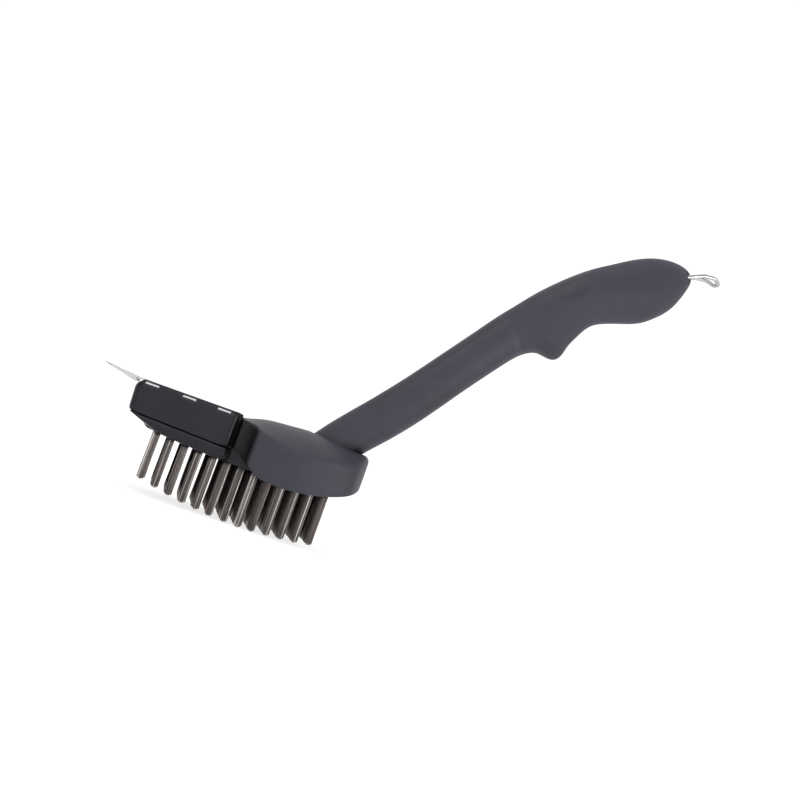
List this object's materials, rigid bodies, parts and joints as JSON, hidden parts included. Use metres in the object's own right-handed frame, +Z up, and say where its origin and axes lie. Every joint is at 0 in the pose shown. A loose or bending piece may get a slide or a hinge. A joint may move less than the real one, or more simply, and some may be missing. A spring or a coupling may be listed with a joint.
{
  "type": "grill cleaning brush",
  "caption": "Long-handled grill cleaning brush: wire-bristle cassette under a moulded head, bent metal scraper at the nose, soft grip with a thumb rest and a wire hanging loop.",
  "frame": {"origin": "on the ground below the middle of the brush's length and width, at the height of the longest bristle tips", "axes": "-X towards the scraper blade, +X towards the end of the handle, +Y across the head, +Z up with the bristles pointing down"},
  "size_m": [0.3636, 0.084, 0.2635],
  "materials": {
    "charcoal_plastic": "moulded, fine soft-touch texture",
    "black_plastic": "moulded, satin",
    "soft_grip": "soft rubber skin, satin",
    "thumb_rubber": "dark rubber, dished",
    "stainless": "lengthwise brushed",
    "bristle_wire": "drawn wire"
  },
  "bodies": {
    "brush": {"scraper_block": "black_plastic", "scraper_blade": "stainless", "blade_screws": "stainless", "head_shell": "charcoal_plastic", "block_screws": "stainless", "handle_core": "charcoal_plastic", "handle_screws": "stainless", "grip_sleeve": "soft_grip", "thumb_rest": "thumb_rubber"},
    "loop": {"hang_loop": "stainless"},
    "cassette": {"cassette_body": "black_plastic", "anchor_staples": "bristle_wire", "bristle_row_01": "bristle_wire", "bristle_row_02": "bristle_wire", "bristle_row_03": "bristle_wire", "bristle_row_04": "bristle_wire", "bristle_row_05": "bristle_wire", "bristle_row_06": "bristle_wire", "bristle_row_07": "bristle_wire", "bristle_row_08": "bristle_wire", "bristle_row_09": "bristle_wire", "bristle_row_10": "bristle_wire", "bristle_row_11": "bristle_wire", "bristle_row_12": "bristle_wire", "bristle_row_13": "bristle_wire"},
    "latch": {"latch_bar": "black_plastic"}
  },
  "joints": [
    {"name": "loop_swing", "type": "hinge", "parent": "brush", "child": "loop", "pos_m": [0.1497, 0, 0.253], "axis": [0, 1, 0], "range_deg": [-30, 30]},
    {"name": "cassette_pull", "type": "slide", "parent": "brush", "child": "cassette", "axis": [0, 0, -1], "range_m": [0, 0.05]},
    {"name": "latch_press", "type": "slide", "parent": "cassette", "child": "latch", "axis": [-1, 0, 0], "range_m": [0, 0.0015], "stiffness_N_per_m": 2000}
  ]
}
